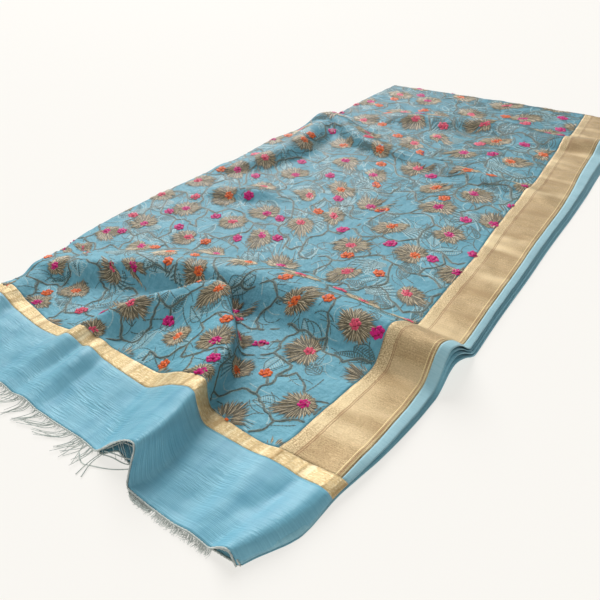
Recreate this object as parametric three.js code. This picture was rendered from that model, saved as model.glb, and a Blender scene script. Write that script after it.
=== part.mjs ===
// A saree laid folded on a flat surface, with its fringed end towards -Y.
// The cloth is folded in half along its length, then back on itself, so one fold runs along the left
// side and one across the far end, and the woven edges lie on each other along the right side.
// Millimetres, +X across the cloth, +Y along it away from the fringe, +Z up.
import * as THREE from 'three';

// Driving sizes of the cloth
const WALL = 1.2; // thickness of one built wall of cloth
const SEAM = 0.3; // gap between neighbouring walls
const BED_GAP = 0.5; // gap between the top cloth and the layers under it
const FLAT_RISE = 9; // height of the top cloth over the table where it lies flat
const HEM_RISE = 3.2; // the same at the fringed hem
const HEM_SLOPE = 70; // length over which the hem rises to the flat height
const BORDER_START = 497; // widths along the cloth, from the left fold
const SELVEDGE_START = 555;
const WIDTH = 565;
const STRIPE_START = 74; // lengths along the cloth, from the hem
const STRIPE_END = 92;
const LENGTH = 1192;
const FOLD_REACH = 5; // how far the rounded folds stand out from where they begin
const FOLD_ANGLE = THREE.MathUtils.degToRad(80); // how far round they go
const FOLD_FOOT = 1.6; // height at which they end over the table
const CLEARANCE = 0.35; // least height of a wall over the table
const CORNER_RISE = { from: 440, to: 505, height: 8 }; // the hem stands higher at its right corner
const EDGE_DROOP = { atHem: 6.4, onward: 1.5, from: 30, to: 115 }; // how far the right edge hangs
const SOFTNESS = 7; // blending length along a crest
const CREST_BLEND = 6; // blending length across a crest
const CREST_STEP = 5; // spacing of the points along a crest
const RIDGE_POWER = 3.2; // how sharply crossing folds meet
const HEM_TAKE = 0.62; // how far the hem is drawn in for each millimetre that a fold lifts it
const HEM_TAKE_LENGTH = 70;
const NEAR = 5; // distance over which the cloth's direction is taken
const NEAR_TURN = 0.25; // the same as a share of a rounded fold's turn
const LEAST_LIFT = 0.001;
const CURVE_STEP = 12; // spacing of the points read from a table

function table(columns, rows) {
  return rows.map((row) => Object.fromEntries(columns.map((name, i) => [name, row[i]])));
}

// The lines of the cloth as it lies: its left fold, both sides of the woven border, its right edge
const SIDES = table(['y', 'left', 'inner', 'outer', 'right'], [
  [-20, 42, 474, 506, 512],
  [0, 44, 474, 508, 514],
  [38, 46, 478, 530, 538],
  [82, 50, 483, 542, 546],
  [102, 52, 487, 545, 549],
  [144, 52, 491, 549, 554],
  [190, 38, 497, 552, 558],
  [229, 26, 500, 552, 559],
  [262, 22, 498, 552, 560],
  [302, 18, 506, 560, 567],
  [385, 14, 505, 560, 568],
  [480, 15, 505, 560, 569],
  [573, 16, 500, 559, 569],
  [681, 8, 497, 560, 571],
  [769, 14, 498, 557, 571],
  [812, 26, 496, 554, 570],
  [866, 30, 493, 551, 569],
  [977, 22, 488, 548, 568],
  [1057, 18, 489, 547, 567],
  [1210, 18, 480, 543, 565],
]);

// The lines across the cloth: its hem, both sides of the woven stripe, the far fold
const CROSSINGS = table(['x', 'hem', 'low', 'high', 'far'], [
  [0, -4, 74, 92, 1188],
  [82, -3, 75, 92, 1190],
  [124, -2, 72, 88, 1192],
  [171, -2, 69, 82, 1193],
  [215, -1, 75, 90, 1194],
  [254, 0, 77, 93, 1195],
  [300, 2, 75, 92, 1197],
  [340, 4, 75, 94, 1196],
  [385, -2, 80, 96, 1194],
  [411, -5, 75, 92, 1193],
  [466, -5, 77, 89, 1193],
  [506, -3, 80, 95, 1192],
  [580, 8, 80, 100, 1189],
]);

// The folds: where the crest lies, how high it stands over the flat cloth, how far its flanks reach
// to the left and right of its course, and how far it leans over to the right
const FOLD_COLUMNS = ['x', 'y', 'rise', 'left', 'right', 'lean'];
const FOLDS = {
  mouth: table(FOLD_COLUMNS, [
    [404, -18, 22, 44, 12, 8],
    [408, 20, 28, 50, 26, 6],
    [401, 60, 29, 58, 30, 8],
    [397, 96, 31, 62, 18, 10],
    [391, 130, 35, 74, 21, 12],
    [380, 152, 37, 80, 23, 13],
    [366, 168, 38, 74, 24, 13],
    [344, 184, 38, 60, 25, 12],
    [318, 193, 37, 46, 25, 10],
  ]),
  lip: table(FOLD_COLUMNS, [
    [330, 190, 37, 40, 25, 10],
    [307, 196, 37, 40, 25, 10],
    [274, 173, 34, 38, 24, 10],
    [243, 136, 26, 32, 24, 8],
    [220, 94, 14, 24, 22, 2],
    [212, 45, 7, 24, 22, 0],
    [208, -8, 1, 20, 20, 0],
  ]),
  pocket: table(FOLD_COLUMNS, [
    [300, 96, 3, 60, 60, 0],
    [308, 120, 11, 66, 66, 0],
    [318, 175, 14, 50, 50, 0],
  ]),
  wave: table(FOLD_COLUMNS, [
    [50, 140, 8, 50, 22, 0],
    [98, 156, 18, 60, 32, 2],
    [138, 179, 22, 66, 36, 3],
    [184, 207, 25, 70, 40, 4],
    [233, 230, 28, 70, 44, 5],
    [320, 258, 29, 68, 54, 4],
    [369, 268, 28, 64, 52, 2],
    [441, 264, 29, 56, 50, 4],
    [488, 262, 32, 48, 48, 8],
    [575, 264, 31, 40, 44, 8],
  ]),
  leftLow: table(FOLD_COLUMNS, [
    [60, 425, 3, 30, 28, 0],
    [122, 456, 12, 38, 30, 0],
    [150, 470, 11, 38, 28, 0],
    [190, 484, 3, 34, 26, 0],
  ]),
  leftMiddle: table(FOLD_COLUMNS, [
    [30, 520, 4, 35, 30, 0],
    [66, 575, 14, 44, 36, 0],
    [78, 655, 20, 46, 44, 0],
    [62, 745, 21, 44, 46, 0],
    [50, 790, 16, 44, 44, 0],
  ]),
  long: table(FOLD_COLUMNS, [
    [-10, 794, 12, 45, 40, 0],
    [40, 830, 24, 50, 40, 0],
    [68, 824, 24, 50, 38, 2],
    [103, 803, 23, 50, 36, 4],
    [171, 760, 18, 45, 30, 4],
    [239, 745, 14, 40, 28, 2],
    [330, 738, 9, 36, 28, 0],
    [447, 722, 10, 34, 28, 0],
    [530, 714, 3, 30, 28, 0],
  ]),
  far: table(FOLD_COLUMNS, [
    [110, 925, 4, 40, 40, 0],
    [166, 942, 14, 50, 44, 0],
    [255, 962, 15, 50, 45, 0],
    [358, 1000, 14, 50, 45, 0],
    [447, 976, 13, 48, 44, 0],
    [488, 976, 14, 48, 42, 0],
    [575, 1002, 14, 48, 42, 0],
  ]),
  hemLeft: table(FOLD_COLUMNS, [
    [66, 150, 9, 30, 20, 0],
    [80, 90, 11, 28, 20, 0],
    [84, 15, 6, 26, 24, 0],
    [84, -8, 3, 24, 24, 0],
  ]),
  hemRight: table(FOLD_COLUMNS, [
    [240, 112, 4, 22, 20, 0],
    [252, 66, 9, 22, 20, 0],
    [248, 0, 2, 22, 22, 0],
  ]),
  hemMiddle: table(FOLD_COLUMNS, [
    [488, 96, 2, 30, 20, 0],
    [484, 30, 5, 32, 22, 0],
    [478, -6, 2, 28, 22, 0],
  ]),
  corner: table(FOLD_COLUMNS, [
    [504, -12, 5, 16, 12, 2],
    [526, 40, 6, 20, 16, 2],
    [544, 120, 2, 20, 16, 0],
  ]),
};

const mix = (a, b, t) => a + (b - a) * t;
const clamp01 = (t) => Math.min(1, Math.max(0, t));
function smooth(from, to, value) {
  const t = clamp01((value - from) / (to - from));
  return t * t * (3 - 2 * t);
}

// A smooth run through the rows of a table, as rows with the same columns
function run(rows, step) {
  const names = Object.keys(rows[0]);
  const ends = [rows[0], ...rows, rows[rows.length - 1]];
  const points = [];
  for (let i = 1; i < ends.length - 2; i += 1) {
    const [a, b, c, d] = ends.slice(i - 1, i + 3);
    const span = Math.hypot(c[names[0]] - b[names[0]], c[names[1]] - b[names[1]]);
    const count = Math.max(2, Math.ceil(span / step));
    for (let k = 0; k < count; k += 1) {
      const t = k / count;
      points.push(Object.fromEntries(names.map((name) => [name, 0.5 * (
        2 * b[name] + (c[name] - a[name]) * t
        + (2 * a[name] - 5 * b[name] + 4 * c[name] - d[name]) * t * t
        + (3 * b[name] - a[name] - 3 * c[name] + d[name]) * t * t * t)])));
    }
  }
  points.push({ ...rows[rows.length - 1] });
  return points;
}

// A table read as a curve: the value of one column where the first column has a given value
function reader(rows, step) {
  const points = run(rows, step);
  const key = Object.keys(rows[0])[0];
  return (at, name) => {
    let i = 1;
    while (i < points.length - 1 && points[i][key] < at) i += 1;
    const [a, b] = [points[i - 1], points[i]];
    return mix(a[name], b[name], clamp01((at - a[key]) / (b[key] - a[key])));
  };
}
const side = reader(SIDES, CURVE_STEP);
const crossing = reader(CROSSINGS, CURVE_STEP);

// A crest as points with their course, moved back by the lean so that the leaning crest lands on them
function crest(rows) {
  const points = run(rows, CREST_STEP);
  return points.map((point, i) => {
    const before = points[Math.max(0, i - 1)];
    const after = points[Math.min(points.length - 1, i + 1)];
    const span = Math.hypot(after.x - before.x, after.y - before.y);
    const courseX = (after.x - before.x) / span;
    const courseY = (after.y - before.y) / span;
    return {
      ...point, courseX, courseY, x: point.x - courseY * point.lean, y: point.y + courseX * point.lean,
    };
  });
}
const CRESTS = Object.values(FOLDS).map(crest);
const WAVE_CREST = crest(FOLDS.wave);

// One fold's lift and sideways push at a place in plan
function foldAt(points, x, y) {
  const distances = points.map((p) => Math.hypot(x - p.x, y - p.y));
  const nearest = Math.min(...distances);
  const sum = { weight: 0, side: 0, rise: 0, left: 0, right: 0, lean: 0, courseX: 0, courseY: 0 };
  points.forEach((p, i) => {
    const weight = Math.exp((nearest ** 2 - distances[i] ** 2) / (2 * SOFTNESS ** 2));
    sum.weight += weight;
    sum.side += weight * (p.courseX * (y - p.y) - p.courseY * (x - p.x));
    for (const name of ['rise', 'left', 'right', 'lean', 'courseX', 'courseY']) {
      sum[name] += weight * p[name];
    }
  });
  const value = (name) => sum[name] / sum.weight;
  const share = 0.5 + 0.5 * Math.tanh(value('side') / CREST_BLEND);
  const reach = mix(value('right'), value('left'), share);
  const profile = (1 - clamp01(nearest / reach) ** 2) ** 2;
  const push = value('lean') * profile ** 1.5;
  return { lift: value('rise') * profile, x: value('courseY') * push, y: -value('courseX') * push };
}

// All folds together at a place in plan, where share makes them lower for the layers under the cloth
function folds(x, y, share) {
  let power = 0;
  const push = new THREE.Vector2();
  for (const points of CRESTS) {
    const fold = foldAt(points, x, y);
    power += Math.max(fold.lift, LEAST_LIFT) ** RIDGE_POWER;
    push.x += fold.x * share;
    push.y += fold.y * share;
  }
  return { lift: power ** (1 / RIDGE_POWER) * share, push };
}

// Where a point of the cloth lies in plan, from its place across and along the cloth
function plan(across, along) {
  let x;
  if (across < BORDER_START) {
    x = mix(side(along, 'left'), side(along, 'inner'), across / BORDER_START);
  } else if (across < SELVEDGE_START) {
    const share = (across - BORDER_START) / (SELVEDGE_START - BORDER_START);
    x = mix(side(along, 'inner'), side(along, 'outer'), share);
  } else {
    const share = (across - SELVEDGE_START) / (WIDTH - SELVEDGE_START);
    x = mix(side(along, 'outer'), side(along, 'right'), share);
  }
  let y;
  if (along < STRIPE_START) {
    y = mix(crossing(x, 'hem'), crossing(x, 'low'), along / STRIPE_START);
  } else if (along < STRIPE_END) {
    const share = (along - STRIPE_START) / (STRIPE_END - STRIPE_START);
    y = mix(crossing(x, 'low'), crossing(x, 'high'), share);
  } else {
    y = mix(crossing(x, 'high'), crossing(x, 'far'), (along - STRIPE_END) / (LENGTH - STRIPE_END));
  }
  return { x, y };
}

// Height of the flat cloth over the table: it comes down to the hem, less so at the right corner
function flatRise(x, along) {
  const hem = mix(HEM_RISE, CORNER_RISE.height, smooth(CORNER_RISE.from, CORNER_RISE.to, x));
  return mix(hem, FLAT_RISE, smooth(0, HEM_SLOPE, along));
}

// How far the right edge droops: down to the table at the corner, and a little further on
function edgeDroop(across, along) {
  const onward = smooth(EDGE_DROOP.from, EDGE_DROOP.to, along);
  const drop = mix(EDGE_DROOP.atHem, EDGE_DROOP.onward, onward);
  return drop * Math.max(0, (across - SELVEDGE_START) / (WIDTH - SELVEDGE_START)) ** 2;
}

// A point of the top face of the cloth. Negative places across run round the left fold, and places
// past the length run round the far fold, each from 0 to 1 of its turn.
function clothPoint(across, along, share = 1) {
  const a = Math.max(across, 0);
  const b = Math.min(along, LENGTH);
  const { x, y } = plan(a, b);
  const { lift, push } = folds(x, y, share);
  const take = HEM_TAKE * lift * clamp01(1 - y / HEM_TAKE_LENGTH) ** 1.5;
  const top = flatRise(x, b) + lift - edgeDroop(a, b);
  const turnLeft = FOLD_ANGLE * Math.max(-across, 0);
  const turnFar = FOLD_ANGLE * Math.max(along - LENGTH, 0);
  const end = Math.cos(FOLD_ANGLE);
  const foot = (FOLD_FOOT - top * end) / (1 - end);
  return new THREE.Vector3(
    x + push.x - FOLD_REACH * Math.sin(turnLeft),
    y + push.y + take + FOLD_REACH * Math.sin(turnFar),
    foot + (top - foot) * Math.cos(turnLeft) * Math.cos(turnFar),
  );
}

// Places from one value to another, closer together where the cloth is folded tightly
function places(stretches) {
  const list = [];
  stretches.forEach(([from, to, count], index) => {
    for (let k = index === 0 ? 0 : 1; k <= count; k += 1) list.push(mix(from, to, k / count));
  });
  return list;
}
const FOLD_TURN = [-1, -0.5];
const FIELD_ACROSS = places([[0, 330, 11], [330, 375, 3], [375, 420, 5], [420, BORDER_START, 3]]);
const BORDER_ACROSS = places([[BORDER_START, SELVEDGE_START, 2]]);
const SELVEDGE_ACROSS = places([[SELVEDGE_START, WIDTH, 2]]);
const HEM_ALONG = places([[0, STRIPE_START, 4]]);
const STRIPE_ALONG = places([[STRIPE_START, STRIPE_END, 1]]);
const FIELD_ALONG = places([
  [STRIPE_END, 160, 5], [160, 290, 10], [290, 330, 2], [330, 730, 8], [730, 860, 4], [860, 1060, 6],
  [1060, LENGTH, 2],
]);
const FAR_TURN = [LENGTH + 0.5, LENGTH + 1];

// The direction out of the cloth at a place, from the cloth close around it
function outward(across, along, share) {
  const left = clothPoint(across - (across > 0 ? NEAR : NEAR_TURN), along, share);
  const right = clothPoint(across + (across < 0 ? NEAR_TURN : NEAR), along, share);
  const before = clothPoint(across, along - (along > LENGTH ? NEAR_TURN : NEAR), share);
  const after = clothPoint(across, along + (along < LENGTH ? NEAR : NEAR_TURN), share);
  return right.sub(left).cross(after.sub(before)).normalize();
}

// Rows of points over the cloth, and the direction out of the cloth at each of them
function clothGrid(acrossList, alongList, shareAt = () => 1) {
  return {
    rows: alongList.map((b) => acrossList.map((a) => clothPoint(a, b, shareAt(b)))),
    outs: alongList.map((b) => acrossList.map((a) => outward(a, b, shareAt(b)))),
  };
}

// The edges of a grid that meet a neighbour are moved back by half a seam, within the cloth's face
function drawIn(grid, seams) {
  const lastRow = grid.rows.length - 1;
  const lastColumn = grid.rows[0].length - 1;
  const moved = grid.rows.map((row, i) => row.map((p, j) => {
    const [far, hem] = [grid.rows[Math.min(i + 1, lastRow)][j], grid.rows[Math.max(i - 1, 0)][j]];
    const [right, left] = [grid.rows[i][Math.min(j + 1, lastColumn)], grid.rows[i][Math.max(j - 1, 0)]];
    const out = grid.outs[i][j];
    const along = new THREE.Vector3().subVectors(far, hem).projectOnPlane(out).normalize();
    const across = new THREE.Vector3().subVectors(right, left).projectOnPlane(out).normalize();
    const alongStep = (i === 0 && seams.hem ? 1 : 0) - (i === lastRow && seams.far ? 1 : 0);
    const acrossStep = (j === 0 && seams.left ? 1 : 0) - (j === lastColumn && seams.right ? 1 : 0);
    return p.clone().addScaledVector(along, alongStep * SEAM / 2)
      .addScaledVector(across, acrossStep * SEAM / 2);
  }));
  return { rows: moved, outs: grid.outs };
}

// A grid's points moved into the cloth by a depth, and kept off the table
function inset(grid, depth) {
  return grid.rows.map((row, i) => row.map((p, j) => {
    const point = p.clone().addScaledVector(grid.outs[i][j], -depth);
    point.z = Math.max(point.z, CLEARANCE);
    return point;
  }));
}

function solid(points, faces) {
  const geometry = new THREE.BufferGeometry();
  const positions = new Float32Array(points.flatMap((p) => [p.x, p.y, p.z]));
  geometry.setAttribute('position', new THREE.BufferAttribute(positions, 3));
  geometry.setIndex(faces.flat());
  return geometry;
}

// A wall of cloth: its top face, its under face and its four edges
function wall(acrossList, alongList, seams) {
  const grid = drawIn(clothGrid(acrossList, alongList), seams);
  const rows = alongList.length;
  const columns = acrossList.length;
  const points = [...grid.rows.flat(), ...inset(grid, WALL).flat()];
  const at = (i, j, under) => (under ? rows * columns : 0) + i * columns + j;
  const faces = [];
  const quad = (a, b, c, d) => faces.push([a, b, c], [a, c, d]);
  for (let i = 0; i < rows - 1; i += 1) {
    for (let j = 0; j < columns - 1; j += 1) {
      quad(at(i, j), at(i, j + 1), at(i + 1, j + 1), at(i + 1, j));
      quad(at(i + 1, j, 1), at(i + 1, j + 1, 1), at(i, j + 1, 1), at(i, j, 1));
    }
  }
  for (let i = 0; i < rows - 1; i += 1) {
    quad(at(i, 0), at(i + 1, 0), at(i + 1, 0, 1), at(i, 0, 1));
    quad(at(i, columns - 1), at(i, columns - 1, 1), at(i + 1, columns - 1, 1), at(i + 1, columns - 1));
  }
  for (let j = 0; j < columns - 1; j += 1) {
    quad(at(0, j + 1), at(0, j), at(0, j, 1), at(0, j + 1, 1));
    quad(at(rows - 1, j + 1), at(rows - 1, j + 1, 1), at(rows - 1, j, 1), at(rows - 1, j));
  }
  return solid(points, faces);
}

// The layers under the top cloth are one solid, made of sections across it from the hem to the far
// fold. Each section is flat below, follows the top cloth above and is stepped at its right edge.
const LAYER_EDGE = table(['tuck', 'reach', 'level'], [
  [9, 0, 0.8],
  [8, 0.35, 0.7],
  [8, 0.35, 0.5],
  [9.5, 0, 0.42],
  [7, 1, 0.34],
  [7, 1, 0.1],
]);
const LAYER_REACH = table(['y', 'out'], [
  [0, 0], [60, 0], [110, 8], [200, 8], [290, 9], [350, 12], [480, 13], [700, 14], [860, 15], [1200, 14],
]);
const REACH_STEP = 20;
const layerReach = reader(LAYER_REACH, REACH_STEP);
const ARCH = { share: 0.65, depth: 100 }; // share of the wave's height, and how far in the hollow goes
const ARCH_STATIONS = [100, 50, 24]; // distances from the right edge at which its height is given
const CAP_BEND = 1e-6;
const LAYERS_TUCK = 4.5; // how far the layers stay inside the top cloth's right edge
const LAYERS_START = 6; // how far they stay inside the hem
const LAYERS_BACK = 9; // how far the lowest face ends inside the edge
const MOUTH_SHARE = 0.4; // how much of a fold's height they fill at the hem
const MOUTH_DEPTH = 75; // how far in they fill it whole

// The right edge is lifted off the table where the long wave crosses it
function archRise(along, fromEdge) {
  const { x, y } = plan(WIDTH, along);
  return foldAt(WAVE_CREST, x, y).lift * ARCH.share * (1 - smooth(0, ARCH.depth, fromEdge));
}

function hiddenLayers() {
  const acrossList = [...FOLD_TURN, ...FIELD_ACROSS, ...BORDER_ACROSS.slice(1), WIDTH - LAYERS_TUCK];
  const alongList = [LAYERS_START, ...HEM_ALONG.slice(1), ...STRIPE_ALONG.slice(1),
    ...FIELD_ALONG.slice(1), ...FAR_TURN];
  const shareAt = (along) => mix(MOUTH_SHARE, 1, smooth(0, MOUTH_DEPTH, along));
  const tops = inset(clothGrid(acrossList, alongList, shareAt), WALL + BED_GAP);
  const sections = tops.map((top, i) => {
    const along = alongList[i];
    const first = top[0];
    const last = top[top.length - 1];
    const base = clothPoint(WIDTH, along, 0);
    const reach = layerReach(along, 'out');
    const section = [new THREE.Vector3(first.x, first.y, 0)];
    for (const fromEdge of ARCH_STATIONS) {
      section.push(new THREE.Vector3(base.x - fromEdge, base.y, archRise(along, fromEdge)));
    }
    const foot = archRise(along, 0);
    section.push(new THREE.Vector3(base.x - LAYERS_BACK, base.y, foot));
    for (const row of [...LAYER_EDGE].reverse()) {
      const edge = clothPoint(WIDTH, along, row.level);
      const x = edge.x - row.tuck + row.reach * reach;
      const y = along > LENGTH ? last.y : edge.y;
      section.push(new THREE.Vector3(x, y, mix(foot, last.z, row.level)));
    }
    section.push(...[...top].reverse());
    return section;
  });
  const count = sections[0].length;
  const points = sections.flat();
  const faces = [];
  for (let i = 0; i < sections.length - 1; i += 1) {
    for (let k = 0; k < count; k += 1) {
      const [a, b] = [i * count + k, i * count + ((k + 1) % count)];
      faces.push([a, a + count, b + count], [a, b + count, b]);
    }
  }
  // An end of the solid is filled from a drawing whose underside is bent up a little, so that each
  // of the underside's points in line is joined to the top
  const cap = (section) => {
    const [from, to] = [section[0].x, section[ARCH_STATIONS.length + 1].x];
    const bent = (p) => (p.z === 0 ? CAP_BEND * (p.x - from) * (to - p.x) : p.z);
    return THREE.ShapeUtils.triangulateShape(section.map((p) => new THREE.Vector2(p.x, bent(p))), []);
  };
  const lastStart = (sections.length - 1) * count;
  cap(sections[0]).forEach(([a, b, c]) => faces.push([a, b, c]));
  cap(sections[sections.length - 1]).forEach(([a, b, c]) => {
    faces.push([lastStart + c, lastStart + b, lastStart + a]);
  });
  return solid(points, faces);
}

// The fringe: warp threads left long at the hem, held by a narrow whipped cord, from which they run
// out over the table in locks
const CORD = { width: 2, half: 0.5, root: 1.6 };
const LOCK = {
  tip: 0.35, // half thickness at its end
  waist: 0.525, // the same at its bend
  bend: 0.45, // share of its length at which it bends
  floor: 0.75, // height of its middle where it lies on the table
  landing: 1.3, // how much sooner than its end it reaches the table
  turn: 0.35, // how far its heading wanders, either way
  lengthWave: 2.4, // how fast its length and its heading change along the hem
  turnWave: 4.1,
};
const FRINGES = table(['name', 'from', 'to', 'pitch', 'short', 'long', 'swing'], [
  ['fringe_left', 0, 375, 13, 24, 46, -0.55],
  ['fringe_mouth', 375, 420, 9, 7, 13, -0.2],
  ['fringe_right', 420, 560, 10, 6, 12, -0.1],
]);

function hemFrame(across) {
  const here = clothPoint(across, 0);
  const course = clothPoint(across + NEAR, 0).sub(clothPoint(across - NEAR, 0)).normalize();
  const up = outward(across, 0);
  const away = new THREE.Vector3().crossVectors(course, up).normalize();
  return { middle: here.addScaledVector(up, -WALL / 2), away, up };
}

// Places of the cord's sections along the hem: the wall's own, and both sides of each lock's root
function cordPlaces(row) {
  const ends = WHOLE_ACROSS.filter((a) => a >= row.from && a <= row.to);
  const list = [{ across: ends[0] + SEAM, root: false }];
  for (let i = 1; i < ends.length; i += 1) {
    const cell = ends[i] - ends[i - 1];
    const count = Math.max(1, Math.round(cell / row.pitch));
    for (let k = 0; k < count; k += 1) {
      const centre = ends[i - 1] + (cell * (k + 0.5)) / count;
      list.push({ across: centre - CORD.root / 2, root: true });
      list.push({ across: centre + CORD.root / 2, root: false });
    }
    list.push({ across: ends[i] - (i === ends.length - 1 ? SEAM : 0), root: false });
  }
  return list;
}

// The hem's frame between two of the wall's places, in line with the wall's straight edge there
function hemBetween(across) {
  const next = WHOLE_ACROSS.findIndex((a) => a > across);
  const [from, to] = [WHOLE_ACROSS[next - 1], WHOLE_ACROSS[next]];
  const [a, b] = [hemFrame(from), hemFrame(to)];
  const share = (across - from) / (to - from);
  return {
    middle: a.middle.lerp(b.middle, share),
    away: a.away.lerp(b.away, share),
    up: a.up.lerp(b.up, share),
  };
}

function fringe(row) {
  const stations = cordPlaces(row);
  const points = [];
  const faces = [];
  const quad = (a, b, c, d) => faces.push([a, c, b], [a, d, c]);
  for (const station of stations) {
    const { middle, away, up } = hemBetween(station.across);
    for (const [out, level] of [[0, -1], [1, -1], [1, 1], [0, 1]]) {
      points.push(middle.clone().addScaledVector(away, SEAM + out * CORD.width)
        .addScaledVector(up, level * CORD.half));
    }
  }
  const lastStation = (stations.length - 1) * 4;
  quad(0, 3, 2, 1);
  quad(lastStation, lastStation + 1, lastStation + 2, lastStation + 3);
  for (let s = 0; s < stations.length - 1; s += 1) {
    const [a, b] = [s * 4, s * 4 + 4];
    for (const k of [0, 1, 2, 3]) {
      const next = (k + 1) % 4;
      if (k !== 1 || !stations[s].root) quad(a + k, a + next, b + next, b + k);
    }
    if (stations[s].root) growLock(row, stations[s].across, [a + 1, a + 2, b + 2, b + 1], points, quad);
  }
  return solid(points, faces);
}

// One lock, grown from four corners of the cord's outer side and laid down to the table
function growLock(row, across, root, points, quad) {
  const { away } = hemBetween(across);
  const wander = Math.sin(across * LOCK.lengthWave) * 0.5 + 0.5;
  const length = mix(row.short, row.long, wander);
  const heading = new THREE.Vector3(away.x, away.y, 0).normalize();
  const turn = row.swing + LOCK.turn * Math.sin(across * LOCK.turnWave);
  heading.applyAxisAngle(new THREE.Vector3(0, 0, 1), turn);
  const start = new THREE.Vector3();
  root.forEach((k) => start.addScaledVector(points[k], 0.25));
  let ring = root;
  for (const [share, half] of [[LOCK.bend, LOCK.waist], [1, LOCK.tip]]) {
    const middle = start.clone().addScaledVector(heading, length * share);
    middle.z = mix(start.z, LOCK.floor, Math.min(1, share * LOCK.landing));
    const sideways = new THREE.Vector3(-heading.y, heading.x, 0);
    const next = [[-1, -1], [-1, 1], [1, 1], [1, -1]].map(([across4, level]) => {
      points.push(middle.clone().addScaledVector(sideways, across4 * half)
        .add(new THREE.Vector3(0, 0, level * half)));
      return points.length - 1;
    });
    for (let k = 0; k < 4; k += 1) quad(ring[k], ring[(k + 1) % 4], next[(k + 1) % 4], next[k]);
    ring = next;
  }
  quad(...ring);
}

const silk = (color, roughness, metalness) => new THREE.MeshStandardMaterial({
  color, roughness, metalness,
});
const FIELD_BLUE = silk(0x6fa9bd, 0.62, 0);
const END_BLUE = silk(0x74b6d0, 0.5, 0);
const ZARI_GOLD = silk(0xc8af82, 0.38, 0.45);
const STRIPE_GOLD = silk(0xf0d7a0, 0.36, 0.45);
const SELVEDGE_BLUE = silk(0x9bc8d2, 0.55, 0);
const LAYER_BLUE = silk(0x7fb4c4, 0.6, 0);
const THREAD_GREY = silk(0xaab4af, 0.8, 0);

const WHOLE_ACROSS = [
  ...FOLD_TURN, ...FIELD_ACROSS, ...BORDER_ACROSS.slice(1), ...SELVEDGE_ACROSS.slice(1),
];
const LONG_ALONG = [...FIELD_ALONG, ...FAR_TURN];
const PIECES = [
  ['field', wall([...FOLD_TURN, ...FIELD_ACROSS], LONG_ALONG, { hem: true, right: true }), FIELD_BLUE],
  ['side_border', wall(BORDER_ACROSS, LONG_ALONG, { hem: true, left: true, right: true }), ZARI_GOLD],
  ['selvedge', wall(SELVEDGE_ACROSS, LONG_ALONG, { hem: true, left: true }), SELVEDGE_BLUE],
  ['end_stripe', wall(WHOLE_ACROSS, STRIPE_ALONG, { hem: true, far: true }), STRIPE_GOLD],
  ['plain_end', wall(WHOLE_ACROSS, HEM_ALONG, { far: true }), END_BLUE],
  ['hidden_layers', hiddenLayers(), LAYER_BLUE],
  ...FRINGES.map((row) => [row.name, fringe(row), THREAD_GREY]),
];

// The part's origin is the middle of its outline on the table
const saree = new THREE.Group();
for (const [name, geometry, material] of PIECES) {
  const mesh = new THREE.Mesh(geometry, material);
  mesh.name = name;
  saree.add(mesh);
}
const outline = new THREE.Box3().setFromObject(saree);
const middle = outline.getCenter(new THREE.Vector3());
for (const mesh of saree.children) mesh.position.set(-middle.x, -middle.y, -outline.min.z);

export default saree;
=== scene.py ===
"""A saree laid folded on a pale surface, seen from its fringed end.

The cloth is folded in half along its length and back on itself at its far end. Lengths are in
millimetres until a mesh is made; +X runs across the cloth, +Y along it away from the fringe, +Z up.
"""

import functools
import math
import operator

import bpy
import numpy as np
from mathutils import Matrix, Vector


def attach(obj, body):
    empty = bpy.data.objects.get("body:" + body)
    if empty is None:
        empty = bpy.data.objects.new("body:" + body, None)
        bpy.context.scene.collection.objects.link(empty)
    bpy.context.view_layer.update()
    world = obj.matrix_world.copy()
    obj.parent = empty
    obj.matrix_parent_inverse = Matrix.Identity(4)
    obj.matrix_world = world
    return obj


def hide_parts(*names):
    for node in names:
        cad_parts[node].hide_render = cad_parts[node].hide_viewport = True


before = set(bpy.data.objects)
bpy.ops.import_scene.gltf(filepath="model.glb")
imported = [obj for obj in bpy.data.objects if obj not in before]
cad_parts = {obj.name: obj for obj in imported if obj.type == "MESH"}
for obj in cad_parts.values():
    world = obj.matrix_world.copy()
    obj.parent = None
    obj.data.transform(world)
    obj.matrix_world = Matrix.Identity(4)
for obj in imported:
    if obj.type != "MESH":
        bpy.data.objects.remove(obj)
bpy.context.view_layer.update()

# The body of the saree: sky-blue silk, woven plain for the embroidery that covers it.
# Its form is the lie of the whole cloth: two sides, a hem, a far fold and the folds between them.
MM = 0.001
CLOTH_MIDDLE = (292.38, 575.91)  # where the frame's origin lies on the cloth's own plan
FLAT_RISE, HEM_RISE, HEM_SLOPE = 9, 3.2, 70
BORDER_START, SELVEDGE_START, WIDTH = 497, 555, 565
STRIPE_START, STRIPE_END, LENGTH = 74, 92, 1192
FOLD_REACH = 5  # how far the rounded folds stand out at the left side and the far end
FOLD_FOOT = 0.9
SOFTNESS, CREST_BLEND, CREST_STEP, RIDGE_POWER = 7, 6, 5, 3.2
HEM_TAKE, HEM_TAKE_LENGTH = 0.62, 70
CORNER_START, CORNER_END = 492, 508  # where the hem rises to the flat height at the near corner
EDGE_DROOP = {"hem": 6.4, "along": 1.5, "from": 30, "to": 115}  # how far the edge strip bends down
LEAST_LIFT, RELIEF_FLAT = 0.001, 0.4
SILK_THICKNESS, EDGE_THICKNESS = 0.5, 0.8
WARP, WEFT = 0.00042, 0.00048  # thread spacings in metres, wider than real ones so that they show
FAR_PAINTED_SHADE = 0.36  # painted shade: how much darker the blue is painted at each metre from the fringe

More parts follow.
